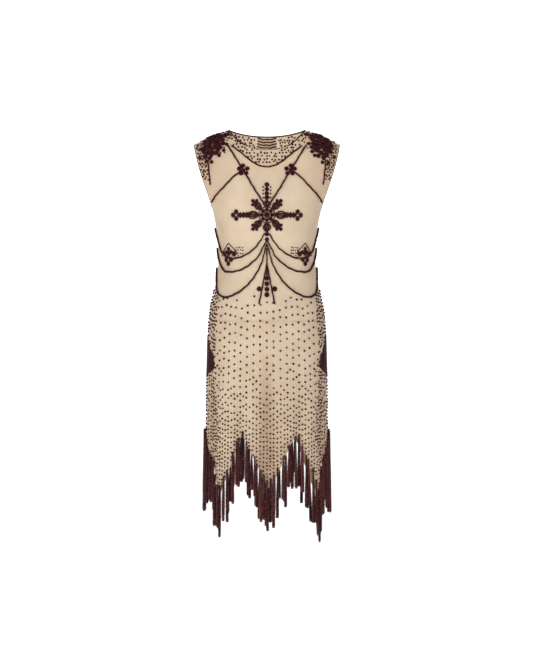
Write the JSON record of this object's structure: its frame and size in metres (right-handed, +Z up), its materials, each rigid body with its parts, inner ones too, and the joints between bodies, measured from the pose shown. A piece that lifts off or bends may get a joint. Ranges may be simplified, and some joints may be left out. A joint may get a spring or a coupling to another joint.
{
  "type": "beaded dress",
  "caption": "Sleeveless knee-length evening dress of fine net in its worn shape, with bead cords, rosettes, shoulder clusters, hip leaves and a beaded fringe on a pointed hem.",
  "frame": {"origin": "on the centre line, level with the neck points of the shoulder seams and in the plane of the side seams, where a wearer's shoulders hold the dress", "axes": "+Z up, +X to the right of someone facing the front, -Y out of the front"},
  "size_m": [0.401, 0.2481, 1.1151],
  "materials": {
    "net_cloth": "fine warm beige net over plain cloth",
    "edging": "narrow dark beaded binding",
    "beadwork": "glossy dark red-brown glass beads",
    "fringe_beads": "strung glossy red-brown glass beads"
  },
  "bodies": {
    "root": {"bodice_front": "net_cloth", "bodice_back": "net_cloth", "skirt_front": "net_cloth", "skirt_back": "net_cloth", "neck_edging": "edging", "armhole_edging_right": "edging", "armhole_edging_left": "edging", "yoke_line": "beadwork", "breast_star": "beadwork", "star_finial": "beadwork", "festoon_upper": "beadwork", "festoon_middle": "beadwork", "festoon_lower": "beadwork", "centre_drop": "beadwork", "festoon_back_upper": "beadwork", "festoon_back_middle": "beadwork", "festoon_back_lower": "beadwork", "chest_cords_right": "beadwork", "chest_cords_left": "beadwork", "shoulder_cluster_right": "beadwork", "shoulder_cluster_left": "beadwork", "shoulder_cluster_back_right": "beadwork", "shoulder_cluster_back_left": "beadwork", "hip_leaf_right": "beadwork", "hip_leaf_left": "beadwork", "fringe_front_centre": "fringe_beads", "fringe_front_right": "fringe_beads", "fringe_front_left": "fringe_beads", "fringe_back_centre": "fringe_beads", "fringe_back_right": "fringe_beads", "fringe_back_left": "fringe_beads"}
  },
  "joints": []
}
